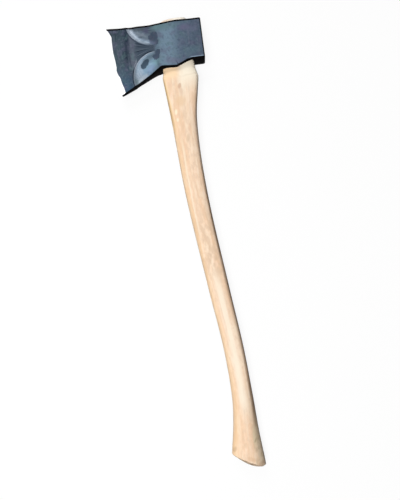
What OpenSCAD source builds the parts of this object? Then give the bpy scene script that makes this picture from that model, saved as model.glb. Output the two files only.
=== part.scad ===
// Single-bit axe lying on its side: X runs back to the poll, Y up the haft to the crown, Z across the cheeks.
// The origin is on the lower cheek under the middle of the eye, and all sizes are in millimetres.

/* [Head] */
// Length of the head from the poll face to the foremost point of the edge
head_l = 173; // [166:0.5:182]
// Distance from the middle of the eye back to the poll face
poll_back = 49; // [44:0.5:54]
// Width of the head across the flat cheeks
poll_w = 32.5; // [31:0.5:36]
// Height of the crown over the middle line of the cheeks
crown_up = 41.5; // [40.5:0.5:45]
// Height of the lowest point of the crown line, in front of the eye
dip_up = 40; // [39:0.5:40]
// Distance of that lowest point in front of the middle of the eye
dip_front = 27; // [22:1:32]
// Depth of the poll's underside below the middle line
poll_down = 27; // [23.5:0.5:30.5]
// Rounding of the two upright edges of the poll
poll_r = 3.5; // [1:0.5:5]
// Chamfer along the crown and under the poll
edge_ch = 2.5; // [1:0.5:3]

/* [Lugs] */
// Depth of the lug's point below the middle line
lug_down = 38; // [35.5:0.5:42]
// Distance of the lug's point in front of the middle of the eye
lug_front = 2; // [0:0.5:5]
// Distance of the lug's rear foot behind the middle of the eye
lug_back = 24.5; // [20:0.5:27]
// Depth of the throat where the beard starts
throat_down = 35; // [32.5:0.5:35]
// Distance of that throat in front of the middle of the eye
throat_front = 26; // [23.5:0.5:28]

/* [Bit] */
// Radius of the cutting edge seen from the side
edge_r = 203; // [185:1:226]
// Height of the foremost point of the edge over the middle line
edge_up = 11.5; // [5.5:0.5:18]
// Height of the toe over the middle line
toe_up = 50; // [46:0.5:54]
// Depth of the heel below the middle line
heel_down = 74; // [65:0.5:79.5]
// Width of the ground bevel along the edge
bevel_w = 11.5; // [7.5:0.5:14.5]
// Angle of each bevel to the middle plane
bevel_a = 15; // [13.5:0.5:18]
// Angle of each tapered cheek to the middle plane
cheek_a = 10.75; // [10:0.25:12]
// Length over which the tapered cheek runs into the flat one
cheek_blend = 25; // [15:1:32]
// Thickness of the honed edge
edge_t = 0.4; // [0.2:0.1:0.8]

/* [Cheek hollows] */
// Radius of each hollow at its rim
hollow_r = 43.5; // [38:0.5:45]
// Width of the ridge left between the upper and the lower hollow
waist_h = 12; // [9:0.5:15]
// Depth of that ridge's middle below the middle line
waist_down = 2.75; // [0.5:0.25:5]
// Distance of the hollows' centres in front of the middle of the eye
hollow_front = 36.5; // [34:0.5:40]
// Depth of the hollow at the foot of its rim
hollow_d = 2; // [1:0.1:2.8]
// Width of the sloping rim
hollow_rim = 7; // [4:0.5:11]
// Distance in front of the middle of the eye at which the hollow's floor runs out on the cheek
hollow_end = 27; // [25:0.5:29]
// Turn of the floor's fall away from straight ahead
hollow_turn = 10; // [5:1:15]

/* [Eye] */
// Length of the eye at the lug, from front to back
eye_l = 58; // [55:0.5:61]
// Set-back of the eye's middle
eye_x = 1.2; // [0:0.1:2.5]
// Shortening of the eye towards the crown, shared by its two ends
eye_draw = 10.5; // [6:0.5:11.5]
// Width of the eye across the cheeks, at the lug
eye_w = 20; // [18:0.5:22]
// Widening of the eye across the cheeks towards the crown
eye_flare = 2.5; // [0.5:0.5:3.5]
// Clearance all round between pieces that are driven together
fit_gap = 0.05; // [0.02:0.01:0.2]

/* [Haft line] */
// Length of the tongue standing out over the crown
proud = 7; // [4:0.5:12]
// Distance from the middle of the eye down to the middle of the foot
haft_down = 753.4; // [710:0.1:815]
// Distance of the shoulder below the lug's point
shoulder_drop = 18; // [13:0.5:27]
// Distance of the throat below the middle of the eye
neck_at = 135.5; // [118:0.5:162]
// Distance of the upper haft section below the middle of the eye
upper_at = 262; // [235:1:298]
// Distance of the middle haft section below the middle of the eye
middle_at = 433.5; // [390:0.5:470]
// Distance of the grip above the middle of the foot
grip_up = 211.4; // [182:0.1:222]
// Distance of the last straight section above the middle of the foot
waist_up = 120.4; // [102:0.1:132]
// Distance of the swell above the middle of the foot
swell_up = 61.9; // [50:0.1:67]
// Set-back of the shoulder
shoulder_x = 1.8; // [-2:0.1:4]
// Set-back of the throat
neck_x = -1.4; // [-5:0.1:4]
// Set-back of the upper haft section
upper_x = 3.2; // [-4:0.1:9]
// Set-back of the middle haft section
middle_x = 20.5; // [9:0.1:27]
// Set-back of the grip
grip_x = 32.5; // [23:0.5:41]
// Set-back of the last straight section
waist_x = 37.2; // [29:0.1:45]
// Set-back of the swell
swell_x = 36.1; // [29:0.1:45]
// Set-back of the foot
foot_x = 34.6; // [27:0.1:45]

/* [Haft sections] */
// Depth of the shoulder from front to back
shoulder_l = 63.5; // [60:0.1:67]
// Thickness of the shoulder
shoulder_w = 28; // [23.5:0.5:31]
// Depth of the throat
neck_l = 45; // [40:0.1:50.5]
// Thickness of the throat
neck_w = 25.7; // [21.5:0.1:29]
// Depth of the upper haft section
upper_l = 39.4; // [32.5:0.1:43.5]
// Thickness of the upper haft section
upper_w = 24.4; // [20:0.1:28]
// Depth of the middle haft section
middle_l = 37.2; // [31:0.1:41.5]
// Thickness of the middle haft section
middle_w = 23.5; // [20:0.5:27]
// Depth of the grip
grip_l = 35.7; // [31:0.1:40.5]
// Thickness of the grip
grip_w = 23.5; // [20:0.5:27]
// Depth of the last straight section
waist_l = 37.7; // [32.5:0.1:43.5]
// Thickness of the last straight section
waist_w = 24.4; // [20:0.1:28]
// Depth of the swell
swell_l = 47; // [41.5:0.5:52.5]
// Thickness of the swell
swell_w = 26.2; // [21.5:0.1:30]
// Depth of the foot along its slant
foot_l = 65.2; // [52.5:0.1:66]
// Thickness of the foot
foot_w = 27.1; // [21.5:0.1:31]
// Slant of the swell
swell_a = 15; // [8:0.5:20]
// Slant of the foot
foot_a = 28; // [22:0.5:34]
// Rounding of the foot's rim
foot_r = 3.8; // [2:0.2:6]
// Rise of the foot's end over its rounded rim
foot_dome = 6; // [2:0.1:7]
// Squareness of the haft's oval, 2 being an ellipse
oval = 2.7; // [2.2:0.05:3]
// Chamfer round the top of the tongue
top_ch = 1.8; // [0.6:0.2:2.6]

/* [Wedges] */
// Thickness of the wooden wedge at its top
kerf_t = 4.5; // [3:0.5:5.5]
// Thickness of the wooden wedge at its tip
kerf_tip = 1; // [0.5:0.1:2]
// Depth of the wooden wedge below the tongue's top
kerf_d = 56; // [40:1:68]
// Width of each steel wedge
steel_w = 16; // [12:0.5:17]
// Thickness of each steel wedge at its top
steel_t = 2.8; // [2:0.2:3.6]
// Thickness of each steel wedge at its tip
steel_tip = 0.8; // [0.5:0.1:1.5]
// Depth of each steel wedge below the tongue's top
steel_d = 25; // [16:1:31]
// Distance of each steel wedge from the middle of the tongue
steel_x = 12; // [10:0.5:13.5]
// Turn of each steel wedge from the line of the wooden one
steel_a = 60; // [50:1:75]

/* [Hidden] */
sides = 36;
lie_h = poll_w / 2;
far = 400;
// Foremost point of the edge and the centre of its arc
edge_x = poll_back - head_l;
edge_cx = edge_x + edge_r;
// Half thickness behind the bevel, and the radius at which taper and flat cheek would meet
bevel_z = edge_t / 2 + bevel_w * tan(bevel_a);
flat_r = edge_r - bevel_w - (poll_w / 2 - bevel_z) / tan(cheek_a);
// Arc of the crown line, through its lowest point and the toe
toe_x = edge_cx - sqrt(pow(edge_r, 2) - pow(toe_up - edge_up, 2));
toe_rise = toe_up - dip_up;
crown_r = (pow(toe_x + dip_front, 2) + pow(toe_rise, 2)) / (2 * toe_rise);
heel_x = edge_cx - sqrt(pow(edge_r, 2) - pow(heel_down + edge_up, 2));
// Slope of the beard, and its line carried past the edge
beard_m = (heel_down - throat_down) / (-throat_front - heel_x);
beard_x = edge_x - 20;
beard_y = -throat_down + beard_m * (beard_x + throat_front);
hollow_off = hollow_r + waist_h / 2;
tongue_top = crown_up + proud;
tongue_foot = lug_down + 1.5;
shoulder_at = lug_down + shoulder_drop;
// Haft sections: distance down, set-back, depth, thickness, slant
STATIONS = [
  [shoulder_at, shoulder_x, shoulder_l, shoulder_w, 0],
  [neck_at, neck_x, neck_l, neck_w, 0],
  [upper_at, upper_x, upper_l, upper_w, 0],
  [middle_at, middle_x, middle_l, middle_w, 0],
  [haft_down - grip_up, grip_x, grip_l, grip_w, 0],
  [haft_down - waist_up, waist_x, waist_l, waist_w, 2],
  [haft_down - swell_up, swell_x, swell_l, swell_w, swell_a],
  [haft_down - foot_dome - foot_r, foot_x, foot_l, foot_w, foot_a]
];
LAST = len(STATIONS) - 1;
STEPS = [4, 7, 7, 5, 5, 5, 5];

// Point of a rounded oval at a given angle
function oval_x(a, l) = sign(cos(a)) * pow(abs(cos(a)), 2 / oval) * l / 2;
function oval_z(a, w) = sign(sin(a)) * pow(abs(sin(a)), 2 / oval) * w / 2;

// Oval ring set back by x, at height y, slanted so that its front end is the higher one
function ring(x, y, l, w, slant = 0) = [
  for (i = [0:sides - 1])
    let (a = i * 360 / sides, u = oval_x(a, l), v = oval_z(a, w))
    [x + u * cos(slant), y - u * sin(slant), v]
];

// Section of the eye at height y, drawn in at both ends and widened across the cheeks on its way up
function eye_ring(y, grow) =
  let (s = max(0, min(1, (y + lug_down) / (lug_down + crown_up))))
  ring(eye_x, y, eye_l - eye_draw * s + 2 * grow, eye_w + eye_flare * s + 2 * grow);

// Smooth curve through column c of the haft sections
function run(i) = STATIONS[i][0];
function slope(i, c) =
  let (a = max(0, i - 1), b = min(LAST, i + 1))
  (STATIONS[b][c] - STATIONS[a][c]) / (run(b) - run(a));
function curve(i, c, t) =
  let (h = run(i + 1) - run(i), p = STATIONS[i][c], q = STATIONS[i + 1][c])
  p * (2 * t * t * t - 3 * t * t + 1) + q * (3 * t * t - 2 * t * t * t)
  + h * slope(i, c) * (t * t * t - 2 * t * t + t) + h * slope(i + 1, c) * (t * t * t - t * t);
function haft_ring(i, t) =
  let (down = run(i) + t * (run(i + 1) - run(i)))
  ring(curve(i, 1, t), -down, curve(i, 2, t), curve(i, 3, t), curve(i, 4, t));

// Ring of the foot's rounded end, where turn runs from the rim at 0 to the end at 90
function foot_ring(turn) =
  let (out = foot_r * sin(turn), inset = 2 * foot_r * (1 - cos(turn)))
  ring(foot_x - out * sin(foot_a), -run(LAST) - out * cos(foot_a), foot_l - inset, foot_w - inset, foot_a);
function dome_ring(share) =
  let (out = foot_r + foot_dome * (1 - share * share), keep = foot_l - 2 * foot_r)
  ring(foot_x - out * sin(foot_a), -run(LAST) - out * cos(foot_a),
    keep * share, (foot_w - 2 * foot_r) * share, foot_a);

// Ring between the tongue's foot and the shoulder, eased in at the front and cut straight at the back
function shoulder_ring(t) =
  let (l0 = eye_l - 2 * fit_gap, w0 = eye_w - 2 * fit_gap, y = -tongue_foot - t * (shoulder_at - tongue_foot)) [
    for (i = [0:sides - 1])
      let (a = i * 360 / sides, ease = t * t * (3 - 2 * t), s = t + (ease - t) * (1 - cos(a)) / 2)
      [eye_x + (shoulder_x - eye_x) * s + oval_x(a, l0 + (shoulder_l - l0) * s), y,
        oval_z(a, w0 + (shoulder_w - w0) * s)]
  ];

TONGUE_RINGS = [
  eye_ring(-tongue_foot, -fit_gap),
  eye_ring(-lug_down, -fit_gap),
  eye_ring(crown_up, -fit_gap),
  eye_ring(tongue_top - top_ch, -fit_gap),
  eye_ring(tongue_top, -fit_gap - top_ch)
];
BODY_RINGS = [
  for (i = [LAST - 1:-1:0])
    for (k = [STEPS[i] - 1:-1:0])
      haft_ring(i, k / STEPS[i])
];
HAFT_RINGS = concat(
  [for (s = [0.3, 0.6, 0.85]) dome_ring(s)],
  [for (turn = [90, 60, 30, 0]) foot_ring(turn)],
  BODY_RINGS,
  [for (t = [0.8, 0.6, 0.4, 0.2]) shoulder_ring(t)],
  TONGUE_RINGS
);

// Closed skin over rings that run up the haft
module loft(rings) {
  n = len(rings[0]);
  m = len(rings);
  points = [for (r = rings) for (p = r) p];
  walls = [
    for (k = [0:m - 2])
      for (i = [0:n - 1])
        let (j = (i + 1) % n)
        [k * n + i, k * n + j, (k + 1) * n + j, (k + 1) * n + i]
  ];
  low = [for (i = [n - 1:-1:0]) i];
  high = [for (i = [0:n - 1]) (m - 1) * n + i];
  polyhedron(points, concat([low], walls, [high]), convexity = 6);
}

// Half profile of the cheeks, turned about the centre of the edge's arc
module cheek_disc() {
  half = [
    [0, poll_w / 2],
    for (k = [0:5])
      let (t = k / 5, r = flat_r + (t - 0.5) * cheek_blend)
      [r, poll_w / 2 - tan(cheek_a) * cheek_blend * t * t / 2],
    [edge_r - bevel_w, bevel_z],
    [edge_r, edge_t / 2]
  ];
  back = [for (k = [len(half) - 1:-1:0]) [half[k][0], -half[k][1]]];
  translate([edge_cx, edge_up, 0])
    rotate_extrude()
      polygon(concat(half, back));
}

// Side view of the head, open past the edge where the turned cheeks end it
module side_outline() {
  difference() {
    polygon([
      [beard_x, toe_up + 20],
      [-dip_front, toe_up + 20],
      [-dip_front, crown_up],
      [poll_back, crown_up],
      [poll_back, -poll_down],
      [lug_back, -poll_down],
      [-lug_front, -lug_down],
      [-throat_front, -throat_down],
      [beard_x, beard_y]
    ]);
    translate([-dip_front, dip_up + crown_r])
      circle(crown_r);
  }
}

// View of the head from the crown: straight sides with the poll's edges rounded
module plan_outline() {
  translate([-far, -poll_w])
    square([far + poll_back - poll_r, 2 * poll_w]);
  translate([-far, -poll_w / 2 + poll_r])
    square([far + poll_back, poll_w - 2 * poll_r]);
  for (s = [-1, 1])
    translate([poll_back - poll_r, s * (poll_w / 2 - poll_r)])
      circle(poll_r);
}

// Long bar that takes off one edge at 45 degrees, from x0 to x1
module edge_bar(x0, x1, y, z, turn) {
  translate([x0, y, z])
    rotate([turn, 0, 0])
      translate([0, -edge_ch / sqrt(2), -edge_ch / sqrt(2)])
        cube([x1 - x0, sqrt(2) * edge_ch, sqrt(2) * edge_ch]);
}

// Shallow dish with a sloping rim, its floor falling with the bit and running out on the flat cheek
module hollow(s) {
  x = -hollow_front;
  y = s * hollow_off - waist_down;
  turn = 180 - s * hollow_turn;
  floor_r = hollow_r - hollow_rim;
  out = norm([x + floor_r * cos(turn) - edge_cx, y + floor_r * sin(turn) - edge_up]);
  rim_z = bevel_z + (edge_r - bevel_w - out) * tan(cheek_a) - hollow_d;
  fall = (poll_w / 2 - rim_z) / (floor_r + (hollow_end - hollow_front) / cos(turn));
  rise = 8;
  translate([x, y, rim_z + floor_r * fall])
    rotate([0, 0, turn])
      rotate([0, atan(fall), 0])
        cylinder(h = rise, r1 = floor_r, r2 = floor_r + rise * hollow_rim / hollow_d, $fn = 144);
}

module wedge(w, top, tip, depth, grow) {
  h = top / 2 + grow;
  g = tip / 2 + grow;
  translate([0, tongue_top, 0])
    rotate([0, 90, 0])
      translate([0, 0, -w / 2 - grow])
        linear_extrude(w + 2 * grow)
          polygon([[-h, 1], [-h, 0], [-g, -depth - grow], [g, -depth - grow], [h, 0], [h, 1]]);
}

module steel_wedge_shape(s, grow, over) {
  translate([eye_x + s * steel_x, 0, 0])
    rotate([0, s * steel_a, 0])
      intersection() {
        wedge(steel_w, steel_t, steel_tip, steel_d, grow);
        translate([-far, -far, -far])
          cube([2 * far, far + tongue_top + over, 2 * far]);
      }
}

module head() {
  color([0.27, 0.32, 0.37])
    translate([0, 0, lie_h])
      difference() {
        intersection() {
          cheek_disc($fn = 180);
          translate([0, 0, -poll_w])
            linear_extrude(2 * poll_w)
              side_outline($fn = 360);
          translate([0, far / 2, 0])
            rotate([90, 0, 0])
              linear_extrude(far)
                plan_outline($fn = 48);
        }
        for (s = [-1, 1]) {
          edge_bar(-far / 2, far / 2, crown_up, s * poll_w / 2, 45);
          edge_bar(lug_back, far / 2, -poll_down, s * poll_w / 2, 45);
          hollow(s);
          mirror([0, 0, 1])
            hollow(s);
        }
        loft([for (y = [-lug_down - 5, -lug_down, crown_up, crown_up + 20]) eye_ring(y, 0)]);
      }
}

module haft() {
  color([0.91, 0.77, 0.62])
    translate([0, 0, lie_h])
      difference() {
        loft(HAFT_RINGS);
        wedge(2 * eye_l, kerf_t, kerf_tip, kerf_d, fit_gap);
        for (s = [-1, 1])
          steel_wedge_shape(s, fit_gap, 1);
      }
}

module kerf_wedge() {
  color([0.72, 0.53, 0.36])
    translate([0, 0, lie_h])
      difference() {
        intersection() {
          wedge(2 * eye_l, kerf_t, kerf_tip, kerf_d, 0);
          loft(TONGUE_RINGS);
        }
        for (s = [-1, 1])
          steel_wedge_shape(s, fit_gap, 1);
      }
}

module front_steel_wedge() {
  color([0.45, 0.45, 0.47])
    translate([0, 0, lie_h])
      steel_wedge_shape(-1, 0, 0);
}

module rear_steel_wedge() {
  color([0.45, 0.45, 0.47])
    translate([0, 0, lie_h])
      steel_wedge_shape(1, 0, 0);
}

head();
haft();
kerf_wedge();
front_steel_wedge();
rear_steel_wedge();
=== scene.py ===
from math import atan2, cos, pi, radians, sin, sqrt, tan

import bmesh
import bpy
import numpy as np
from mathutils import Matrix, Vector


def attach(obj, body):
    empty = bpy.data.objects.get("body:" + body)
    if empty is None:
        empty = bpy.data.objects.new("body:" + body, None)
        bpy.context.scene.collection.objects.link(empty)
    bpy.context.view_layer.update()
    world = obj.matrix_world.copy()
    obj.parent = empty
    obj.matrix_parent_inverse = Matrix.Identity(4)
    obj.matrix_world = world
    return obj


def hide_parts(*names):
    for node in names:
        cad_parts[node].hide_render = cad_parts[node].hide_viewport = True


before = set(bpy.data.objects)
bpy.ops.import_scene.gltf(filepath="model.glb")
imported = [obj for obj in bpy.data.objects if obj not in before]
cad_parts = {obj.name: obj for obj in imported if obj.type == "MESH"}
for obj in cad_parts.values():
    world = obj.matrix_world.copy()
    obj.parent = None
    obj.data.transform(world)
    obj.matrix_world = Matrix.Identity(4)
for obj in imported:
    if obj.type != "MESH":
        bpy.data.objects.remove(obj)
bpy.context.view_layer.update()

# Head: a single-bit chopping head, forged in one piece from tool steel and left dark from the quench.
# The bit is ground bright along its edge, and two shallow hollows are ground into each cheek so that
# it lets go of the wood. The haft is driven through the flared eye from below.
bpy.ops.object.select_all(action="DESELECT")
mm = 0.001
middle_z = 16.25
poll_back, poll_half, poll_down, crown_up = 49.3, 16.25, 27.0, 41.5
edge_r, edge_up, edge_half = 203.0, 11.5, 0.2
edge_cx = -124.0 + edge_r
toe_up, heel_down = 50.0, 74.0
toe_x = edge_cx - sqrt(edge_r**2 - (toe_up - edge_up) ** 2)
heel_x = edge_cx - sqrt(edge_r**2 - (heel_down + edge_up) ** 2)
crown = [
    (toe_x, toe_up), (-106, 47.2), (-93, 45.0), (-79, 43.9), (-64, 43.3), (-50, 41.4),
    (-36, 40.1), (-28, 40.0), (-21, 40.7), (-14, 41.4), (-7, 42.0), (0, 42.5),
    (10, 42.5), (21, 42.0), (30, 41.6), (poll_back, crown_up),
]
beard = [
    (heel_x, -heel_down), (-75.0, -58.9), (-62.0, -52.3), (-50.0, -46.1), (-37.0, -39.2), (-28.2, -35.7),
    (-2.0, -38.0), (24.5, -poll_down), (poll_back, -poll_down),
]
bevel_w, bevel_slope, cheek_slope, cheek_blend = 11.5, tan(radians(15)), tan(radians(10.75)), 25.0
bevel_half = edge_half + bevel_w * bevel_slope
flat_r = edge_r - bevel_w - (poll_half - bevel_half) / cheek_slope
hollows = ((-34.5, 54.0, 50.2), (-39.5, -49.5, 41.4))
hollow_back, hollow_d, hollow_rim = -27.0, 2.8, 11.0


def crown_line(x):
    """Height of the head's upper edge, humped over the eye, dipping before it and rising to the toe."""
    reach = np.array([-4.0, -2.0, 0.0, 2.0, 4.0])
    points = np.array(crown)
    eased = np.mean([np.interp(x + r, points[:, 0], points[:, 1]) for r in reach], axis=0)
    return np.where(x < toe_x + 4, np.interp(x, points[:, 0], points[:, 1]), eased)


def beard_line(x):
    """Height of the head's lower edge, from the heel over the lug to the poll."""
    reach = np.array([-1.5, -0.75, 0.0, 0.75, 1.5])
    points = np.array(beard)
    return np.mean([np.interp(x + r, points[:, 0], points[:, 1]) for r in reach], axis=0)


def fall_off(gap, radius):
    """How far a rounded edge drops at a distance inside the outline."""
    rest = np.clip(radius - gap, 0, radius)
    return radius - np.sqrt(np.maximum(radius**2 - rest**2, 0))


def ease(value, start, end):
    """Smooth step from 0 at start to 1 at end."""
    t = np.clip((value - start) / (end - start), 0, 1)
    return t * t * (3 - 2 * t)


def cheek_shape(x, y):
    """Half thickness of the head over its side view, how deep the hollows go and the scale at the rims."""
    r = np.hypot(x - edge_cx, y - edge_up)
    into = np.clip(r - flat_r + cheek_blend / 2, 0, cheek_blend)
    past = np.maximum(r - flat_r - cheek_blend / 2, 0)
    height = poll_half - cheek_slope * (into**2 / (2 * cheek_blend) + past)
    height = np.minimum(height, edge_half + np.maximum(edge_r - r, 0) * bevel_slope)
    waves = 1 + np.sin(x / 7.1 + 1.3 * np.sin(y / 9.0)) * np.sin(y / 6.3 + np.sin(x / 11.0))
    height = height - 0.05 * waves * np.clip((edge_r - r) / 40, 0, 1)
    depth = np.zeros_like(x)
    for mid_x, mid_y, rim_r in hollows:
        crisp = ease(y, -46, -18) * (mid_y < 0)
        inward = np.clip((rim_r - np.hypot(x - mid_x, y - mid_y)) / (hollow_rim - 6.0 * crisp), 0, 1)
        deep = hollow_d * (1 - 0.65 * crisp) * (1 - (1 - inward) ** 2)
        depth = depth + deep * ease(x, hollow_back, hollow_back - 20)
    throat = 1.4 * ease(y, -14, -36) * ease(x, -29, -37) * ease(x, -70, -46)
    height = height - depth - throat
    share = np.clip(height / poll_half, 0.04, 1)
    from_crown, from_beard, from_poll = crown_line(x) - y, y - beard_line(x), poll_back - x
    height = height - fall_off(from_crown, 1.6 * share) - fall_off(from_beard, 1.0 * share)
    height = height - fall_off(from_poll, 3.4)
    scale = np.maximum(ease(from_crown, 4.0, 2.8), ease(from_poll, 2.6, 1.4))
    beard_scale = ease(from_beard - 1.5 * ease(x, -84, -104), 2.2, 1.1) * (x < 20)
    return height, depth / hollow_d, np.maximum(scale, beard_scale)


def points_of(piece):
    """All the points of a mesh, in metres."""
    spots = np.zeros(len(piece.data.vertices) * 3)
    piece.data.vertices.foreach_get("co", spots)
    return spots.reshape(-1, 3)


bpy.ops.mesh.primitive_grid_add(x_subdivisions=250, y_subdivisions=136, size=1)
axe_head = bpy.context.object
axe_head.name = axe_head.data.name = "axe_head"
spots = points_of(axe_head)
u, v = spots[:, 0] + 0.5, spots[:, 1] + 0.5
u, v = u - 0.1 * np.sin(2 * pi * u), v - 0.1 * np.sin(2 * pi * v)
lower_x, upper_x = heel_x + (poll_back - heel_x) * u, toe_x + (poll_back - toe_x) * u
heel_turn, toe_turn = atan2(-heel_down - edge_up, heel_x - edge_cx), atan2(toe_up - edge_up, toe_x - edge_cx)
turn = heel_turn + 2 * pi + (toe_turn - heel_turn - 2 * pi) * v
edge_px, edge_py = edge_cx + edge_r * np.cos(turn), edge_up + edge_r * np.sin(turn)
poll_py = -poll_down + (crown_up + poll_down) * v
corner_x = (1 - u) * ((1 - v) * heel_x + v * toe_x) + u * poll_back
corner_y = (1 - u) * ((1 - v) * -heel_down + v * toe_up) + u * poll_py
spots[:, 0] = (1 - v) * lower_x + v * upper_x + (1 - u) * edge_px + u * poll_back - corner_x
spots[:, 1] = (1 - v) * beard_line(lower_x) + v * crown_line(upper_x)
spots[:, 1] += (1 - u) * edge_py + u * poll_py - corner_y
axe_head.data.vertices.foreach_set("co", (spots * mm).ravel())
lift = 0.01
bpy.ops.object.mode_set(mode="EDIT")
bpy.ops.mesh.select_all(action="SELECT")
bpy.ops.mesh.extrude_region_move(TRANSFORM_OT_translate={"value": (0, 0, lift)})
bpy.ops.object.mode_set(mode="OBJECT")
spots = points_of(axe_head)
height = cheek_shape(spots[:, 0] / mm, spots[:, 1] / mm)[0]
spots[:, 2] = (middle_z + np.where(spots[:, 2] > lift / 2, height, -height)) * mm
axe_head.data.vertices.foreach_set("co", spots.ravel())
bpy.ops.object.mode_set(mode="EDIT")
bpy.ops.mesh.select_all(action="SELECT")
bpy.ops.mesh.normals_make_consistent(inside=False)
bpy.ops.object.mode_set(mode="OBJECT")

eye_x, eye_l, eye_draw, eye_w, eye_flare, lug_down = 1.2, 58.0, 10.5, 20.0, 2.5, 38.0
oval, ring_points = 2.7, 96


def oval_ring(x, y, depth, thickness, slant=0.0, square=oval):
    """Points of a rounded oval across the haft's line, front end higher when slanted."""
    a = np.arange(ring_points) * 2 * pi / ring_points
    along = np.sign(np.cos(a)) * np.abs(np.cos(a)) ** (2 / square) * depth / 2
    across = np.sign(np.sin(a)) * np.abs(np.sin(a)) ** (2 / square) * thickness / 2
    lean = radians(slant)
    return np.stack([x + along * cos(lean), y - along * sin(lean), middle_z + across], axis=1) * mm


def draw_out(piece, rings):
    """Shapes a circle to the first ring and extrudes it through the rest, then caps the far end."""
    bpy.ops.object.mode_set(mode="EDIT")
    shape = bmesh.from_edit_mesh(piece.data)
    shape.verts.ensure_lookup_table()
    for vert, spot in zip(shape.verts, rings[0]):
        vert.co = spot
    bpy.ops.mesh.select_all(action="SELECT")
    for ring in rings[1:]:
        bpy.ops.mesh.extrude_edges_move()
        shape = bmesh.from_edit_mesh(piece.data)
        shape.verts.ensure_lookup_table()
        for vert, spot in zip(shape.verts[-len(ring):], ring):
            vert.co = spot
    bpy.ops.mesh.edge_face_add()
    bpy.ops.mesh.select_all(action="SELECT")
    bpy.ops.mesh.normals_make_consistent(inside=False)
    bpy.ops.object.mode_set(mode="OBJECT")


def eye_ring(y, grow):
    """Section of the eye, which is drawn in lengthwise and flares across towards the crown."""
    share = max(0.0, min(1.0, (y + lug_down) / (lug_down + crown_up)))
    return oval_ring(eye_x, y, eye_l - eye_draw * share + 2 * grow, eye_w + eye_flare * share + 2 * grow)


def cut_away(piece, tool):
    """Takes the shape of a tool out of a piece and clears the tool away."""
    bpy.ops.object.select_all(action="DESELECT")
    bpy.context.view_layer.objects.active = piece
    piece.select_set(True)
    cut = piece.modifiers.new("cut", "BOOLEAN")
    cut.object, cut.operation, cut.solver = tool, "DIFFERENCE", "EXACT"
    bpy.ops.object.modifier_apply(modifier=cut.name)
    bpy.data.objects.remove(tool)


bpy.ops.object.select_all(action="DESELECT")
bpy.ops.mesh.primitive_circle_add(vertices=ring_points, radius=0.02, fill_type="NGON")
eye_drift = bpy.context.object
draw_out(eye_drift, [eye_ring(y, 0) for y in (-50, -lug_down, crown_up, 60)])
cut_away(axe_head, eye_drift)
bpy.ops.object.shade_smooth_by_angle(angle=radians(35))


def mark(piece, name, values):
    """Keeps one value per point on a mesh, for its finish to read."""
    piece.data.attributes.new(name, "FLOAT", "POINT").data.foreach_set("value", values.astype(np.float32))


spots = points_of(axe_head) / mm
ground, scale = cheek_shape(spots[:, 0], spots[:, 1])[1:]
mark(axe_head, "ground", ground)
mark(axe_head, "scale", scale)


def finish_material(name):
    """A new node material, its tree and its shader."""
    material = bpy.data.materials.new(name)
    material.use_nodes = True
    tree = material.node_tree
    return material, tree, tree.nodes["Principled BSDF"]


def step(kind, feeds=None, **settings):
    """Adds one node to a finish, fed by fixed values or by earlier nodes."""
    made = tree.nodes.new("ShaderNode" + kind)
    for key, value in settings.items():
        setattr(made, key, value)
    for key, value in (feeds or {}).items():
        if isinstance(value, bpy.types.NodeSocket):
            tree.links.new(value, made.inputs[key])
        else:
            made.inputs[key].default_value = value
    return made.outputs


def sums(operation, a, b=0.0):
    """Arithmetic on one or two values of a finish."""
    return step("Math", {0: a, 1: b}, operation=operation)[0]


def times(a, b):
    """Product of two values of a finish."""
    return sums("MULTIPLY", a, b)


def plus(a, b):
    """Sum of two values of a finish."""
    return sums("ADD", a, b)


def minus(a, b):
    """One value of a finish less another."""
    return sums("SUBTRACT", a, b)


def fade(value, start, end):
    """Smooth mask from 0 at start to 1 at end."""
    ends = {"Value": value, "From Min": start, "From Max": end, "To Min": 0.0, "To Max": 1.0}
    if start > end:
        ends.update({"From Min": end, "From Max": start, "To Min": 1.0, "To Max": 0.0})
    return step("MapRange", ends, interpolation_type="SMOOTHSTEP")[0]


def mottle(where, scale, detail=3.0, rough=0.55, stretch=(1, 1, 1), warp=0.0):
    """Cloudy pattern in the object's own space, with stretch as periods per axis."""
    placed = step("Mapping", {"Vector": where, "Scale": stretch})[0]
    feeds = {"Vector": placed, "Scale": scale, "Detail": detail, "Roughness": rough, "Distortion": warp}
    return step("TexNoise", feeds)["Fac"]


def tint(amount, under, over):
    """Lays one colour over another by a mask."""
    return step("Mix", {0: amount, 6: under, 7: over}, data_type="RGBA")[2]


def object_space():
    """Place on the object in millimetres, the same in the side view, its parts, and where a surface faces."""
    place = step("TexCoord")
    spot = step("VectorMath", {0: place["Object"], "Scale": 1000.0}, operation="SCALE")["Vector"]
    side_view = step("VectorMath", {0: spot, 1: (1, 1, 0)}, operation="MULTIPLY")["Vector"]
    return spot, side_view, step("SeparateXYZ", {0: spot}), step("SeparateXYZ", {0: place["Normal"]})


blued_steel, tree, shader = finish_material("blued_steel")
spot, side_view, xyz, facing = object_space()
flatness = sums("ABSOLUTE", facing["Z"])


def from_point(x, y):
    """Distance in the side view from a point of the cheek."""
    return step("VectorMath", {0: side_view, 1: (x, y, 0)}, operation="DISTANCE")["Value"]


def blot(where, at, size, lean, ragged, soft):
    """Soft oval patch in the side view, its outline broken up by a pattern."""
    moved = step("VectorMath", {0: where, 1: (*at, 0)}, operation="SUBTRACT")["Vector"]
    turned = step("VectorRotate", {"Vector": moved, "Angle": -radians(lean)}, rotation_type="Z_AXIS")[0]
    sized = step("VectorMath", {0: turned, 1: (1 / size[0], 1 / size[1], 0)}, operation="MULTIPLY")["Vector"]
    reach = step("VectorMath", {0: sized}, operation="LENGTH")["Value"]
    return fade(plus(reach, ragged), 1 + soft, 1 - soft)


def swing(pattern, amount):
    """A pattern brought to swing about zero by an amount."""
    return times(minus(pattern, 0.5), amount)


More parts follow.
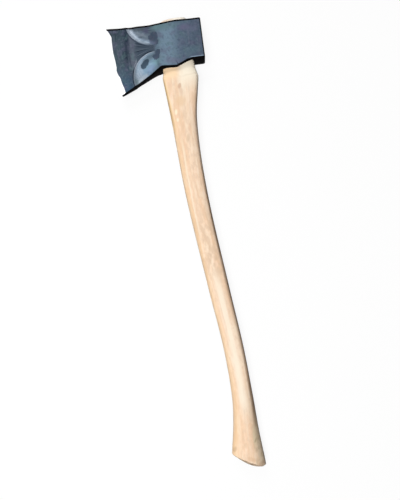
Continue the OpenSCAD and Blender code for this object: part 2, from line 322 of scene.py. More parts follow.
clouds = mottle(spot, 0.030, 4.0, 0.6)
patches = mottle(spot, 0.085, 3.0, 0.55)
flecks = mottle(spot, 0.22, 3.0, 0.6)
speckle = mottle(spot, 0.60, 3.0, 0.6)
drawn = mottle(spot, 1.0, 3.0, 0.6, stretch=(0.20, 0.020, 0.05), warp=0.4)
hollow_in = step("Attribute", attribute_name="ground")["Fac"]
rim_scale = step("Attribute", attribute_name="scale")["Fac"]

# Dark skin left by the quench, in bands along the bit, lighter and bluer over the eye
slanted = plus(xyz["X"], times(xyz["Y"], -0.058))
banded = plus(slanted, plus(swing(clouds, 14.0), swing(drawn, 3.0)))
along = step("MapRange", {"Value": banded, "From Min": -125.0, "From Max": 50.0})[0]
skin_ramp = tree.nodes.new("ShaderNodeValToRGB")
tree.links.new(along, skin_ramp.inputs[0])
skin_ramp.color_ramp.interpolation = "B_SPLINE"
stops = skin_ramp.color_ramp.elements
stops[0].position, stops[0].color = 0.0, (0.038, 0.055, 0.068, 1)
stops[1].position, stops[1].color = 1.0, (0.057, 0.078, 0.110, 1)
for at, colour in (
    (0.10, (0.043, 0.062, 0.079)),
    (0.17, (0.048, 0.069, 0.090)),
    (0.215, (0.006, 0.013, 0.023)),
    (0.245, (0.021, 0.032, 0.048)),
    (0.275, (0.098, 0.113, 0.144)),
    (0.32, (0.038, 0.053, 0.074)),
    (0.50, (0.042, 0.063, 0.088)),
    (0.56, (0.118, 0.177, 0.231)),
    (0.68, (0.122, 0.182, 0.239)),
    (0.75, (0.066, 0.093, 0.135)),
):
    stops.new(at).color = (*colour, 1)
skin = skin_ramp.outputs["Color"]
toe_end = times(fade(xyz["Y"], 10.0, 42.0), fade(xyz["X"], -84.0, -104.0))
skin = tint(times(toe_end, 0.90), skin, (0.019, 0.032, 0.041, 1))
heel_end = times(fade(xyz["Y"], -14.0, -36.0), fade(xyz["X"], -76.0, -92.0))
skin = tint(times(heel_end, 0.65), skin, (0.052, 0.083, 0.116, 1))
skin = tint(times(times(heel_end, fade(xyz["Y"], -36.0, -52.0)), 0.75), skin, (0.030, 0.058, 0.096, 1))
skin = tint(times(fade(patches, 0.50, 0.68), 0.50), skin, (0.078, 0.078, 0.126, 1))
skin = tint(times(fade(patches, 0.47, 0.32), 0.45), skin, (0.070, 0.120, 0.130, 1))
skin = tint(times(fade(flecks, 0.50, 0.68), 0.36), skin, (0.036, 0.048, 0.070, 1))
skin = tint(times(fade(flecks, 0.48, 0.34), 0.26), skin, (0.120, 0.150, 0.186, 1))
skin = tint(times(fade(drawn, 0.53, 0.72), 0.32), skin, (0.104, 0.128, 0.160, 1))

# Rays drawn by the wheel where the ridge between the hollows narrows to a waist
waist_x, waist_y = -39.0, -1.5
ray_turn = sums("ARCTAN2", minus(xyz["Y"], waist_y), minus(waist_x, xyz["X"]))
rays = step("TexNoise", {"W": ray_turn, "Scale": 13.0, "Detail": 2.0}, noise_dimensions="1D")["Fac"]
ray_reach = times(fade(from_point(waist_x, waist_y), 37.0, 26.0), fade(xyz["X"], -34.0, -40.0))
skin = tint(times(ray_reach, 0.85), skin, (0.036, 0.051, 0.072, 1))
skin = tint(times(ray_reach, fade(rays, 0.54, 0.66)), skin, (0.082, 0.103, 0.130, 1))
skin = tint(times(ray_reach, fade(rays, 0.47, 0.37)), skin, (0.012, 0.018, 0.028, 1))

# Ground hollows: a duller floor that runs out at the eye, with painted shade at its upper end by the eye and
# painted light on the lower floor, and a painted reflection as a bright crescent along each rim
upper_rho, lower_rho = from_point(*hollows[0][:2]), from_point(*hollows[1][:2])
# Painted shade: the upper floor is painted darker towards the eye end; painted light: the lower floor is
# painted brighter and bluer
painted_shade_eye_end = times(fade(xyz["X"], -62.0, -46.0), fade(xyz["Y"], 20.0, 31.0))
upper_floor = tint(painted_shade_eye_end, (0.080, 0.104, 0.132, 1), (0.034, 0.045, 0.068, 1))
floor_steel = tint(fade(xyz["Y"], 6.0, -10.0), upper_floor, (0.094, 0.146, 0.192, 1))
sweeps = mottle(step("CombineXYZ", {0: upper_rho, 1: lower_rho, 2: 0.0})[0], 0.16, 3.0, 0.6)
floor_steel = tint(times(fade(sweeps, 0.50, 0.66), 0.45), floor_steel, (0.136, 0.172, 0.214, 1))
floor_steel = tint(times(fade(sweeps, 0.47, 0.34), 0.35), floor_steel, (0.060, 0.080, 0.112, 1))
floor_steel = tint(times(fade(flecks, 0.55, 0.75), 0.4), floor_steel, (0.078, 0.102, 0.136, 1))
skin = tint(fade(hollow_in, 0.02, 0.30), skin, floor_steel)
# Painted reflection: bright crescents along the inside of both rims, strongest low in the lower hollow,
# broken by the wheel's hatching
upper_crescent_glint = times(fade(plus(from_point(-8.3, 64.1), swing(patches, 5.0)), 67.0, 72.5),
                  fade(upper_rho, 50.6, 49.6))
upper_crescent_glint = times(upper_crescent_glint, plus(0.74, times(fade(xyz["Y"], 16.0, 36.0), 0.20)))
lower_crescent_glint = times(fade(plus(from_point(-36.0, -39.0), swing(patches, 6.0)), 22.5, 32.0),
                  fade(lower_rho, 41.7, 40.9))
lower_crescent_glint = times(lower_crescent_glint, plus(0.45, times(fade(xyz["Y"], -14.0, -58.0), 0.75)))
hatch = mottle(step("CombineXYZ", {0: upper_rho, 1: lower_rho, 2: 0.0})[0], 0.55, 2.0, 0.6)
bands = times(sums("MAXIMUM", upper_crescent_glint, lower_crescent_glint), fade(xyz["X"], -38.0, -64.0))
bands = times(bands, plus(0.20, times(fade(hatch, 0.30, 0.65), 0.8)))
skin = tint(bands, skin, tint(fade(xyz["Y"], 12.0, 32.0), (0.178, 0.206, 0.245, 1), (0.240, 0.272, 0.318, 1)))
# Painted highlight: a thin bright line on the lower hollow's rim
lower_rim_glint = times(fade(lower_rho, 40.0, 40.6), fade(lower_rho, 41.8, 41.2))
lower_rim_glint = times(lower_rim_glint, times(fade(xyz["X"], -35.0, -40.0), fade(xyz["Y"], -44.0, -30.0)))
skin = tint(times(lower_rim_glint, 0.75), skin, (0.190, 0.220, 0.262, 1))
# Painted shade: thin dark lines just outside the rims of both hollows
lower_rim_shade = times(fade(lower_rho, 41.4, 41.9), fade(lower_rho, 43.7, 42.8))
lower_rim_shade_ends = times(fade(xyz["Y"], -24.0, -34.0), fade(xyz["Y"], -66.0, -54.0))
lower_rim_shade_ends = sums("MAXIMUM", lower_rim_shade_ends, times(fade(xyz["Y"], -15.0, -11.0), fade(xyz["X"], -38.0, -43.0)))
skin = tint(times(times(lower_rim_shade, lower_rim_shade_ends), 0.95), skin, (0.008, 0.013, 0.020, 1))
upper_rim_shade = times(fade(upper_rho, 50.1, 50.8), fade(upper_rho, 53.2, 51.9))
skin = tint(times(times(upper_rim_shade, fade(xyz["X"], -48.0, -62.0)), 0.75), skin, (0.022, 0.031, 0.046, 1))

# Patches of forge scale that the grinding missed, and the tints of uneven heat
shaken = step("TexNoise", {"Vector": side_view, "Scale": 0.30, "Detail": 3.0, "Roughness": 0.6})["Color"]
shaken = step("VectorMath", {0: shaken, 1: (0.5, 0.5, 0.5)}, operation="SUBTRACT")["Vector"]
shaken = step("VectorMath", {0: shaken, 1: (6.0, 6.0, 0.0), 2: side_view}, operation="MULTIPLY_ADD")["Vector"]
ragged = swing(flecks, 0.7)
for at, size, lean, soft, strength, colour in (
    ((-59.5, 27.5), (11.0, 2.4), -30, 0.6, 0.60, (0.130, 0.155, 0.188)),
    ((-60.4, 22.6), (4.0, 1.9), -12, 0.4, 0.75, (0.040, 0.052, 0.070)),
    ((-60.0, 38.0), (17.0, 4.0), -8, 0.5, 0.80, (0.040, 0.050, 0.062)),
    ((-47.5, 9.0), (9.0, 2.0), -27, 0.5, 0.35, (0.160, 0.186, 0.222)),
    ((-74.2, -22.0), (7.0, 0.9), 61, 0.5, 0.70, (0.165, 0.190, 0.226)),
    ((-48.0, 31.5), (5.5, 4.5), 8, 0.6, 0.60, (0.050, 0.052, 0.088)),
    ((-48.5, -17.0), (15.0, 5.0), 38, 0.5, 0.60, (0.060, 0.084, 0.106)),
    ((-61.5, -48.0), (8.5, 3.8), 38, 0.5, 0.60, (0.225, 0.250, 0.284)),
    ((-69.5, -53.0), (7.0, 4.2), 45, 0.5, 0.55, (0.235, 0.272, 0.305)),
    ((-76.0, -52.5), (3.4, 6.0), 0, 0.6, 0.55, (0.075, 0.115, 0.130)),
    ((-37.5, -26.0), (6.5, 5.5), 40, 0.7, 0.45, (0.085, 0.160, 0.172)),
    ((-47.0, -35.5), (9.0, 4.5), 35, 0.6, 0.45, (0.090, 0.118, 0.200)),
    ((19.5, 27.5), (9.0, 5.0), 10, 0.7, 0.50, (0.104, 0.098, 0.165)),
    ((32.0, 23.0), (8.0, 6.0), 0, 0.7, 0.40, (0.100, 0.100, 0.165)),
    ((-8.0, -28.5), (12.0, 5.0), -8, 0.7, 0.55, (0.112, 0.112, 0.172)),
    ((27.0, -15.0), (14.0, 6.0), 5, 0.7, 0.40, (0.078, 0.132, 0.160)),
    ((-30.0, 34.5), (11.0, 6.5), 15, 0.6, 0.75, (0.086, 0.140, 0.155)),
    ((-14.0, 34.0), (16.0, 7.0), 3, 0.7, 0.60, (0.078, 0.134, 0.146)),
):
    skin = tint(times(blot(shaken, at, size, lean, ragged, soft), strength), skin, (*colour, 1))
scale_spots = None
for at, size, lean in (
    ((-36.6, 15.6), (11.4, 8.0), 75),
    ((-41.8, 18.0), (4.8, 4.2), 60),
    ((-33.0, 8.0), (5.0, 4.4), 60),
    ((-32.2, -9.8), (5.8, 4.6), 60),
    ((-36.0, -16.8), (5.2, 6.2), 80),
    ((-53.6, -22.2), (4.8, 4.0), 50),
    ((-57.2, -25.6), (6.4, 5.8), 45),
    ((-60.2, -28.6), (4.8, 5.0), 25),
):
    spotted = blot(shaken, at, size, lean, ragged, 0.18)
    scale_spots = spotted if scale_spots is None else sums("MAXIMUM", scale_spots, spotted)
scale_skin = tint(fade(flecks, 0.40, 0.62), (0.035, 0.050, 0.076, 1), (0.044, 0.052, 0.078, 1))
scale_skin = tint(fade(xyz["X"], -44.0, -50.0), scale_skin, (0.020, 0.032, 0.047, 1))
skin = tint(times(scale_spots, 0.94), skin, scale_skin)

# Bright bevel of the edge, a painted highlight as a pale line over the poll's lower edge, black scale on the
# rims and walls, painted darker as shade on the walls facing the foot
bow = plus(times(fade(xyz["Y"], -35.0, -85.0), 4.5), times(fade(xyz["Y"], 0.0, -40.0), 1.5))
toe_hook = plus(times(fade(xyz["Y"], 30.0, 52.0), 10.0), times(fade(xyz["Y"], -12.0, 22.0), 1.3))
nick = times(fade(sums("ABSOLUTE", plus(xyz["Y"], 31.0)), 11.0, 2.0), 1.9)
worn = minus(minus(from_point(edge_cx, edge_up), bow), toe_hook)
worn = plus(minus(worn, nick), swing(patches, 2.0))
polished = fade(worn, 189.2, 190.5)
grind = mottle(spot, 1.0, 2.0, 0.6, stretch=(0.10, 1.4, 1.4))
skin = tint(polished, skin, tint(fade(grind, 0.40, 0.62), (0.91, 0.92, 0.93, 1), (0.80, 0.81, 0.83, 1)))
# Painted highlight: a pale blue line where the poll's lower edge is rounded
poll_edge_glint = times(fade(xyz["Y"], -24.6, -25.6), fade(xyz["X"], 20.0, 27.0))
skin = tint(times(poll_edge_glint, 0.7), skin, (0.200, 0.270, 0.345, 1))
black = sums("MAXIMUM", rim_scale, fade(flatness, 0.90, 0.75))
black = times(black, fade(from_point(edge_cx, edge_up), edge_r - 0.1, edge_r - 0.6))
honed_toe = times(fade(worn, 190.0, 191.5), fade(xyz["Y"], 0.0, 30.0))
black = times(black, minus(1.0, honed_toe))
# Black scale on the walls, painted darkest on the walls that face the foot as their shade; the other walls
# get dark grey scale with struck wear on the poll face
crust_and_shade = tint(fade(patches, 0.35, 0.70), (0.003, 0.003, 0.004, 1), (0.007, 0.006, 0.006, 1))
wall_up = times(fade(flatness, 0.35, 0.15), fade(facing["Y"], -0.55, -0.15))
wall_steel = tint(fade(clouds, 0.40, 0.62), (0.017, 0.018, 0.021, 1), (0.046, 0.049, 0.056, 1))
wall_steel = tint(times(fade(flecks, 0.55, 0.70), 0.6), wall_steel, (0.050, 0.034, 0.026, 1))
struck = times(fade(facing["X"], 0.80, 0.95), fade(plus(patches, swing(flecks, 0.4)), 0.44, 0.60))
wall_steel = tint(times(struck, 0.7), wall_steel, (0.150, 0.160, 0.172, 1))
skin = tint(black, skin, tint(wall_up, crust_and_shade, wall_steel))
tree.links.new(skin, shader.inputs["Base Color"])
steel = plus(0.50, times(sums("MAXIMUM", polished, times(hollow_in, 0.4)), 0.40))
steel = times(steel, minus(1.0, times(minus(black, times(wall_up, 0.7)), 0.85)))
tree.links.new(steel, shader.inputs["Metallic"])
gloss = sums("MAXIMUM", polished, times(hollow_in, 0.6))
dull = plus(0.34, times(clouds, 0.16))
tree.links.new(minus(dull, times(gloss, 0.08)), shader.inputs["Roughness"])
shader.inputs["Specular IOR Level"].default_value = 0.0
hammered = plus(times(patches, 1.5), times(speckle, 0.35))
grain_bump = step("Bump", {"Strength": 0.15, "Distance": 0.0008, "Height": hammered})[0]
tree.links.new(grain_bump, shader.inputs["Normal"])
axe_head.data.materials.clear()
axe_head.data.materials.append(blued_steel)
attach(axe_head, "root")
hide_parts("head")

# Haft: one length of hickory, shaved to a curve that ends in a slanted swollen foot, sanded and oiled.
# Its tongue fills the eye and stands a little proud of the crown, and the shoulder under the head
# is cut back to it with a spokeshave. The tongue is sawn and split open for its three wedges.
# Each row: distance down from the eye, set-back, depth, thickness and slant in degrees
haft_line = np.array([
    [56.0, 1.8, 63.5, 28.0, 0],
    [135.5, -1.4, 45.0, 25.7, 0],
    [262.0, 3.2, 39.4, 24.4, 0],
    [433.5, 20.5, 37.2, 23.5, 0],
    [542.0, 32.5, 35.7, 23.5, 0],
    [633.0, 37.2, 37.7, 24.4, 2],
    [691.5, 36.1, 47.0, 26.2, 15],
    [743.6, 34.6, 65.2, 27.1, 28],
])
foot_r, foot_dome, foot_lean = 3.8, 6.0, 28.0
dome_back, tip_blunt, tongue_tilt = 8.0, 2.2, 0.058
tongue_foot, tongue_top, tongue_round, fit_gap = 39.5, 48.5, 1.8, 0.05
slopes = np.zeros_like(haft_line)
for i in range(len(haft_line)):
    a, b = max(0, i - 1), min(len(haft_line) - 1, i + 1)
    slopes[i] = (haft_line[b] - haft_line[a]) / (haft_line[b, 0] - haft_line[a, 0])


def haft_section(down):
    """Set-back, height, depth, thickness and slant of the haft at a distance down from the eye."""
    i = int(np.clip(np.searchsorted(haft_line[:, 0], down) - 1, 0, len(haft_line) - 2))
    span = haft_line[i + 1, 0] - haft_line[i, 0]
    t = (down - haft_line[i, 0]) / span
    made = haft_line[i] * (2 * t**3 - 3 * t**2 + 1) + haft_line[i + 1] * (3 * t**2 - 2 * t**3)
    made = made + span * (slopes[i] * (t**3 - 2 * t**2 + t) + slopes[i + 1] * (t**3 - t**2))
    return made[1], -down, made[2], made[3], made[4]


def foot_section(out, inset):
    """Section of the foot's rounded end, pushed out along its slanted axis."""
    down, x, depth, thickness, slant = haft_line[-1]
    lean = radians(foot_lean)
    return x - out * sin(lean), -down - out * cos(lean), depth - 2 * inset, thickness - 2 * inset, slant


def shoulder_ring(t):
    """Section between tongue and shoulder, eased in at the front and cut straight at the back."""
    down, x, depth, thickness = haft_line[0, :4]
    a = np.arange(ring_points) * 2 * pi / ring_points
    s = t + (t * t * (3 - 2 * t) - t) * (1 - np.cos(a)) / 2
    y = -tongue_foot - t * (down - tongue_foot)
    slim, full = eye_ring(-tongue_foot, -fit_gap), oval_ring(x, -down, depth, thickness, 0.0, oval + 2.2)
    made = slim + (full - slim) * s[:, None]
    made[:, 1] = y * mm
    return made


def haft_ring(x, y, depth, thickness, slant):
    """Section of the haft, squarer at the shoulder, rounder at the foot, with the spokeshave's flats."""
    square = oval + 2.2 * float(ease(-y, 150, 56)) - 0.8 * float(ease(-y, 540, 700))
    made = oval_ring(x, y, depth, thickness, slant, square)
    middle = made.mean(axis=0)
    a = np.arange(ring_points) * 2 * pi / ring_points
    flats = 1 + np.cos(13 * a + 1.7 * sin(y / 61.0) + y / 190.0)
    return made - (made - middle) * (flats * 0.06 / np.hypot(depth / 2, thickness / 2))[:, None]


haft_rings = []
for share in (0.06, 0.2, 0.35, 0.5, 0.65, 0.8, 0.9):
    x, y, depth, thickness, slant = foot_section(foot_r + foot_dome * (1 - share**2), foot_r)
    back = dome_back * (1 - share)
    x, y = x + back * cos(radians(foot_lean)), y - back * sin(radians(foot_lean))
    haft_rings.append(haft_ring(x, y, depth * share, thickness * share, slant))
for turn in (90, 75, 60, 45, 30, 15, 0):
    a = radians(turn)
    haft_rings.append(haft_ring(*foot_section(foot_r * sin(a), foot_r * (1 - cos(a)))))
for down in (*np.linspace(haft_line[-1, 0], 60.0, 125)[1:], 57.5, 56.4):
    haft_rings.append(haft_ring(*haft_section(down)))
haft_rings += [shoulder_ring(t) for t in (0.98, 0.9, 0.8, 0.7, 0.6, 0.5, 0.4, 0.3, 0.2, 0.1)]
haft_rings += [eye_ring(y, -fit_gap) for y in (-39.5, -38, -30, -20, -10, 0, 10, 20, 30, 41.5, 46.7)]
for turn in (30, 60, 90):
    a = radians(turn)
    rise, inset = tongue_round * (1 - sin(a)), tongue_round * (1 - cos(a))
    haft_rings.append(eye_ring(tongue_top - rise, -fit_gap - inset))
for ring in haft_rings[-4:]:
    ring[:, 1] += tongue_tilt * (ring[:, 0] - eye_x * mm)
for ring in haft_rings[:40]:
    ring[:, 1] += tip_blunt * mm * ease(ring[:, 0] / mm, 53, 62) * ease(-ring[:, 1] / mm, 728, 748)
bpy.ops.object.select_all(action="DESELECT")
bpy.ops.mesh.primitive_circle_add(vertices=ring_points, radius=0.02, fill_type="NGON")
axe_haft = bpy.context.object
axe_haft.name = axe_haft.data.name = "axe_haft"
draw_out(axe_haft, haft_rings)


def split_open(x, turn, width, top, tip, depth):
    """Cuts the slot of one wedge into the top of the tongue."""
    bpy.ops.object.select_all(action="DESELECT")
    bpy.ops.mesh.primitive_cube_add(size=1)
    slot = bpy.context.object
    over, slope = 3.0, (top - tip) / depth
    for vert in slot.data.vertices:
        wide, high, thick = vert.co.x * width, vert.co.y, vert.co.z
        y = tongue_top + over if high > 0 else tongue_top - depth
        thick = thick * (top + slope * over if high > 0 else tip)
        a = radians(turn)
        set_back, rise = x + wide * cos(a) + thick * sin(a), middle_z - wide * sin(a) + thick * cos(a)
        vert.co = Vector((set_back, y, rise)) * mm
    cut_away(axe_haft, slot)


kerf_top, kerf_tip, kerf_depth = 4.6, 1.1, 56.05
steel_width, steel_top, steel_tip, steel_depth, steel_reach, steel_turn = 16.1, 2.9, 0.9, 25.05, 12.0, 60
split_open(eye_x, 0, 2 * eye_l, kerf_top, kerf_tip, kerf_depth)
for side in (-1, 1):
    split_open(eye_x + side * steel_reach, side * steel_turn, steel_width, steel_top, steel_tip, steel_depth)
bpy.ops.object.shade_smooth_by_angle(angle=radians(30))

oiled_hickory, tree, shader = finish_material("oiled_hickory")
spot, side_view, xyz, facing = object_space()
spots = points_of(axe_haft) / mm
stations = np.linspace(56, 742, 60)
middle_line = np.interp(-spots[:, 1], stations, [haft_section(down)[0] for down in stations])
mark(axe_haft, "off_line", spots[:, 0] - middle_line)
off_line = step("Attribute", attribute_name="off_line")["Fac"]
grain_place = step("CombineXYZ", {0: off_line, 1: xyz["Y"], 2: xyz["Z"]})[0]
streaks = mottle(grain_place, 1.0, 3.0, 0.55, stretch=(0.16, 0.008, 0.16), warp=0.3)
pores = mottle(grain_place, 1.0, 2.0, 0.6, stretch=(1.6, 0.045, 1.6))
clouds = mottle(grain_place, 1.0, 3.0, 0.55, stretch=(0.050, 0.018, 0.050))
flecks = mottle(grain_place, 1.0, 2.0, 0.55, stretch=(0.22, 0.10, 0.22))
patches = mottle(grain_place, 1.0, 2.0, 0.55, stretch=(0.10, 0.045, 0.10))

# Growth rings of a trunk whose heart lay below the haft, so they lie flat in the sides
heart = step("VectorMath", {0: spot, 1: (25.0, 0.0, -95.0)}, operation="SUBTRACT")["Vector"]
heart = step("VectorMath", {0: heart, 1: (1, 0, 1)}, operation="MULTIPLY")["Vector"]
ring_at = plus(step("VectorMath", {0: heart}, operation="LENGTH")["Value"], swing(clouds, 7.0))
ring_at = sums("FRACT", sums("DIVIDE", plus(ring_at, swing(streaks, 1.6)), 2.6))
early_wood = sums("MAXIMUM", fade(ring_at, 0.50, 0.0), fade(ring_at, 0.88, 1.0))
wood = tint(fade(streaks, 0.36, 0.64), (0.885, 0.620, 0.415, 1), (0.950, 0.750, 0.570, 1))
wood = tint(times(fade(clouds, 0.50, 0.66), 0.60), wood, (0.965, 0.800, 0.620, 1))
wood = tint(times(fade(clouds, 0.46, 0.32), 0.55), wood, (0.870, 0.610, 0.420, 1))
wood = tint(times(fade(flecks, 0.51, 0.66), 0.45), wood, (0.790, 0.570, 0.410, 1))
wood = tint(times(fade(flecks, 0.47, 0.33), 0.40), wood, (0.970, 0.760, 0.610, 1))
drab = times(fade(xyz["Y"], -270.0, -335.0), fade(xyz["Y"], -440.0, -395.0))
drab = times(drab, fade(plus(patches, swing(flecks, 0.5)), 0.36, 0.62))
wood = tint(times(drab, 0.80), wood, (0.770, 0.555, 0.385, 1))
wood = tint(times(early_wood, 0.22), wood, (0.780, 0.540, 0.350, 1))
wood = tint(times(times(early_wood, fade(pores, 0.52, 0.70)), 0.35), wood, (0.600, 0.390, 0.240, 1))

# Ivory sapwood down the middle of the grip, honey colour along the front and at the shoulder, and painted
# light and shade along the edges, the foot and under the head
pale = times(fade(xyz["Y"], -385.0, -450.0), fade(xyz["Y"], -672.0, -632.0))
pale = times(pale, fade(plus(sums("ABSOLUTE", off_line), swing(streaks, 18.0)), 10.0, 1.0))
wood = tint(times(pale, 0.80), wood, (0.985, 0.870, 0.710, 1))
# Painted highlight: a pale wavering streak along the front of the upper grip
painted_highlight_streak = fade(sums("ABSOLUTE", plus(plus(off_line, 10.5), swing(streaks, 9.0))), 3.2, 0.4)
painted_highlight_streak = times(painted_highlight_streak, times(fade(xyz["Y"], -150.0, -190.0), fade(xyz["Y"], -370.0, -310.0)))
wood = tint(times(painted_highlight_streak, 0.60), wood, (0.985, 0.850, 0.660, 1))
honey = times(fade(facing["X"], -0.15, -0.60), plus(0.45, times(fade(xyz["Y"], -170.0, -110.0), 0.5)))
honey_wood = tint(fade(xyz["Y"], -170.0, -90.0), (0.960, 0.650, 0.360, 1), (1.000, 0.745, 0.450, 1))
wood = tint(honey, wood, honey_wood)
# Painted shade: the front edge just below the head is painted a darker orange-brown
painted_shade_front_edge = times(fade(facing["X"], -0.40, -0.85), fade(xyz["Y"], -165.0, -120.0))
wood = tint(times(painted_shade_front_edge, fade(xyz["Y"], -38.0, -48.0)), wood, (0.660, 0.440, 0.225, 1))
# Painted shade: the back side of the haft is painted darker brown, more so down the grip
painted_shade_back_side = times(fade(facing["X"], 0.30, 0.85), plus(0.15, times(fade(xyz["Y"], -150.0, -330.0), 0.65)))
wood = tint(times(painted_shade_back_side, fade(xyz["Y"], -30.0, -60.0)), wood, (0.360, 0.230, 0.140, 1))
# Painted shadow: a dark brown line along the back edge, heavier down the grip and at the foot
back_shadow_growth = plus(times(fade(xyz["Y"], -200.0, -330.0), 0.30), times(fade(xyz["Y"], -570.0, -660.0), 0.20))
painted_shadow_back_edge = times(fade(facing["X"], 0.50, 0.82), plus(0.45, back_shadow_growth))
wood = tint(times(painted_shadow_back_edge, fade(xyz["Y"], -52.0, -75.0)), wood, (0.190, 0.120, 0.072, 1))
foot_shade = times(fade(facing["X"], 0.12, 0.70), fade(xyz["Y"], -575.0, -650.0))
wood = tint(times(foot_shade, 0.48), wood, (0.200, 0.140, 0.090, 1))
# Painted shade: a dark brown line along the foot's rounded lower edge, broken by flecks
painted_shade_foot_rim = times(fade(facing["Y"], -0.16, -0.42), fade(xyz["Y"], -690.0, -705.0))
painted_shade_foot_rim = times(painted_shade_foot_rim, plus(0.55, times(fade(flecks, 0.40, 0.60), 0.40)))
wood = tint(painted_shade_foot_rim, wood, (0.250, 0.160, 0.095, 1))
# Painted shade: the back half of the foot is painted a greyer beige, with olive-brown speckles over it
foot_back_shade_and_speckles = times(fade(xyz["Y"], -640.0, -715.0), fade(plus(off_line, swing(streaks, 12.0)), 4.0, 22.0))
wood = tint(times(foot_back_shade_and_speckles, 0.60), wood, (0.660, 0.545, 0.395, 1))
wood = tint(times(times(foot_back_shade_and_speckles, fade(flecks, 0.50, 0.64)), 0.55), wood, (0.420, 0.330, 0.200, 1))
cut_at = plus(xyz["Y"], plus(swing(flecks, 6.0), times(xyz["X"], -0.12)))
cut_back = times(fade(cut_at, -100.0, -50.0), fade(plus(xyz["X"], swing(clouds, 12.0)), -14.0, 10.0))
wood = tint(times(cut_back, 0.85), wood, (1.000, 0.925, 0.765, 1))
# Painted shade: a faint darker line along the crease where the shoulder's facet begins
crease_shade_line = times(fade(sums("ABSOLUTE", plus(cut_at, 57.0)), 2.6, 0.2), fade(xyz["X"], 2.0, 12.0))
wood = tint(times(crease_shade_line, 0.20), wood, (0.640, 0.520, 0.370, 1))
# Orange wood under the lug, painted brighter as light to lift the shadow the head casts there
under_lug_tone_and_light = times(fade(cut_at, -64.0, -48.0), fade(xyz["X"], 4.0, -8.0))
wood = tint(times(under_lug_tone_and_light, 0.90), wood, (1.000, 0.735, 0.465, 1))
wood = tint(times(fade(xyz["Y"], 38.0, 41.0), 0.90), wood, (0.985, 0.910, 0.800, 1))
tongue_front = times(fade(xyz["Y"], 43.0, 45.5), fade(xyz["X"], 6.0, -8.0))
wood = tint(times(tongue_front, 0.50), wood, (0.740, 0.520, 0.340, 1))

# Handling marks near the head and on the foot
ragged = plus(swing(flecks, 0.9), swing(pores, 0.5))
for at, size, lean, strength, colour in (
    ((-2.2, -72.5), (4.6, 2.8), 70, 0.70, (0.64, 0.39, 0.25)),
    ((-0.5, -82.0), (8.5, 3.2), 95, 0.45, (0.70, 0.46, 0.30)),
    ((-3.7, -99.0), (9.0, 8.0), 90, 0.70, (0.84, 0.59, 0.37)),
    ((0.8, -124.0), (10.0, 3.5), 85, 0.45, (0.76, 0.54, 0.36)),
    ((1.2, -165.0), (7.0, 3.0), 80, 0.55, (0.70, 0.50, 0.32)),
    ((10.5, -722.0), (5.0, 3.0), 60, 0.60, (0.62, 0.42, 0.24)),
    ((38.0, -740.0), (9.0, 3.6), -28, 0.50, (0.72, 0.47, 0.28)),
    ((49.0, -702.0), (17.0, 3.6), 88, 0.55, (0.66, 0.56, 0.38)),
    ((49.6, -708.0), (4.5, 1.6), 60, 0.55, (0.40, 0.31, 0.18)),
    ((30.6, -714.0), (4.5, 3.0), 80, 0.40, (0.74, 0.52, 0.33)),
    ((55.5, -752.0), (9.0, 4.5), 20, 0.60, (0.50, 0.35, 0.24)),
    ((-14.2, -117.0), (4.5, 2.4), 85, 0.80, (0.99, 0.90, 0.68)),
    ((-13.0, -131.0), (3.2, 2.2), 85, 0.70, (0.99, 0.89, 0.68)),
):
    wood = tint(times(blot(side_view, at, size, lean, ragged, 0.5), strength), wood, (*colour, 1))
end_grain = fade(sums("ABSOLUTE", facing["Y"]), 0.70, 0.95)
wood = tint(times(end_grain, 0.55), wood, (0.640, 0.440, 0.280, 1))
wood = tint(times(times(end_grain, early_wood), 0.45), wood, (0.420, 0.260, 0.150, 1))
tree.links.new(wood, shader.inputs["Base Color"])
tree.links.new(plus(0.48, times(early_wood, 0.12)), shader.inputs["Roughness"])
shader.inputs["Specular IOR Level"].default_value = 0.18
furrows = plus(times(early_wood, -0.5), times(pores, 0.6))
wood_bump = step("Bump", {"Strength": 0.12, "Distance": 0.0004, "Height": furrows})[0]
tree.links.new(wood_bump, shader.inputs["Normal"])
axe_haft.data.materials.clear()
axe_haft.data.materials.append(oiled_hickory)
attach(axe_haft, "root")
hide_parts("haft")

# Wedges: a long one of darker hardwood driven into the saw kerf of the tongue, and two short ones
# of mild steel driven in slantwise behind it, which spread the tongue tight in the flared eye.
wedge_wood, tree, shader = finish_material("wedge_wood")
spot = step("VectorMath", {0: step("TexCoord")["Object"], "Scale": 1000.0}, operation="SCALE")["Vector"]
stripes = mottle(spot, 1.0, 3.0, 0.6, stretch=(0.35, 0.03, 1.2), warp=0.5)
pores = mottle(spot, 2.2, 2.0, 0.5)
wood = tint(fade(stripes, 0.35, 0.65), (0.36, 0.21, 0.115, 1), (0.52, 0.33, 0.19, 1))
wood = tint(times(fade(pores, 0.55, 0.72), 0.6), wood, (0.20, 0.11, 0.06, 1))
tree.links.new(wood, shader.inputs["Base Color"])
tree.links.new(plus(0.55, times(stripes, 0.2)), shader.inputs["Roughness"])
pore_bump = step("Bump", {"Strength": 0.15, "Distance": 0.0004, "Height": pores})[0]
tree.links.new(pore_bump, shader.inputs["Normal"])
mild_steel, tree, shader = finish_material("mild_steel")
spot = step("VectorMath", {0: step("TexCoord")["Object"], "Scale": 1000.0}, operation="SCALE")["Vector"]
rust = mottle(spot, 0.5, 4.0, 0.6)
hammer_marks = mottle(spot, 0.9, 2.0, 0.5)
steel = tint(fade(hammer_marks, 0.35, 0.65), (0.16, 0.165, 0.17, 1), (0.30, 0.305, 0.31, 1))
steel = tint(times(fade(rust, 0.52, 0.70), 0.7), steel, (0.12, 0.07, 0.045, 1))
tree.links.new(steel, shader.inputs["Base Color"])
tree.links.new(fade(rust, 0.75, 0.50), shader.inputs["Metallic"])
tree.links.new(plus(0.40, times(rust, 0.35)), shader.inputs["Roughness"])
hammer_bump = step("Bump", {"Strength": 0.2, "Distance": 0.0005, "Height": hammer_marks})[0]
tree.links.new(hammer_bump, shader.inputs["Normal"])
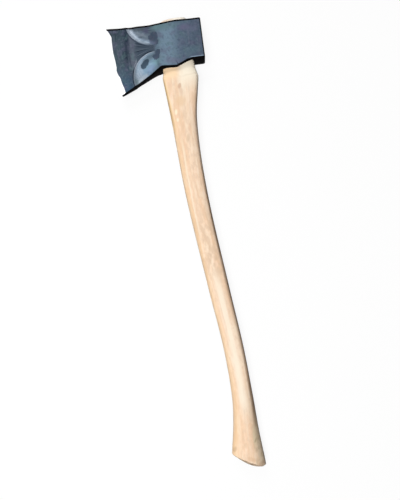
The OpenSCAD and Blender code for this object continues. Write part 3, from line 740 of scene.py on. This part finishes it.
for name, finish in (
    ("kerf_wedge", wedge_wood),
    ("front_steel_wedge", mild_steel),
    ("rear_steel_wedge", mild_steel),
):
    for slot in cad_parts[name].material_slots:
        slot.material = finish

# Studio: a plain pale floor under the axe, a long soft box overhead and a smaller one beyond the head.
bpy.ops.object.select_all(action="DESELECT")
bpy.ops.mesh.primitive_plane_add(size=12, location=(0, 0, 0))
floor = bpy.context.object
floor.name = "floor"
pale_floor, tree, shader = finish_material("pale_floor")


def seen_rays():
    """Mask of the rays by which the camera sees a surface, straight or in a reflection."""
    path = step("LightPath")
    mirrored = sums("MAXIMUM", path["Is Glossy Ray"], path["Is Transmission Ray"])
    return sums("MAXIMUM", path["Is Camera Ray"], mirrored)


seen = seen_rays()
tree.links.new(tint(seen, (0.09, 0.09, 0.09, 1), (1.0, 1.0, 1.0, 1)), shader.inputs["Base Color"])
shader.inputs["Roughness"].default_value = 0.9
shader.inputs["Specular IOR Level"].default_value = 0.0
white = step("Emission", {"Color": (1, 1, 1, 1), "Strength": 1.0})[0]
mixed = step("MixShader", {0: times(seen, 0.90), 1: shader.outputs[0], 2: white})[0]
tree.links.new(mixed, tree.nodes["Material Output"].inputs["Surface"])
floor.data.materials.append(pale_floor)

world = bpy.data.worlds.new("studio")
world.use_nodes = True
bpy.context.scene.world = world
tree = world.node_tree
seen = seen_rays()
room = tree.nodes["Background"]
room.inputs["Color"].default_value = (1, 1, 1, 1)
tree.links.new(plus(0.03, times(seen, 0.97)), room.inputs["Strength"])


def soft_box(name, place, aim, width, length, power):
    """An oblong studio lamp turned to a point."""
    lamp = bpy.data.lights.new(name, "AREA")
    lamp.shape, lamp.size, lamp.size_y, lamp.energy = "RECTANGLE", width, length, power
    box = bpy.data.objects.new(name, lamp)
    bpy.context.scene.collection.objects.link(box)
    box.location = place
    box.rotation_euler = (Vector(aim) - Vector(place)).to_track_quat("-Z", "Y").to_euler()


soft_box("overhead", (-0.6, -0.8, 1.9), (-0.6, -0.8, 0), 1.1, 2.2, 44.0)
soft_box("head_end", (-0.5, 2.3, 1.7), (0, -0.3, 0), 1.4, 1.4, 38.0)

# Camera straight above the axe, turned until the haft leans as it does in the picture
camera_turn = -7.5
lens = bpy.data.cameras.new("camera")
lens.sensor_width, lens.lens = 36.0, 29.52
eye_piece = bpy.data.objects.new("camera", lens)
bpy.context.scene.collection.objects.link(eye_piece)
eye_piece.location = (-0.004065, -0.3631, 0.74955)
eye_piece.rotation_euler = (0, 0, radians(camera_turn))
bpy.context.scene.camera = eye_piece
bpy.context.scene.view_settings.view_transform = "Standard"
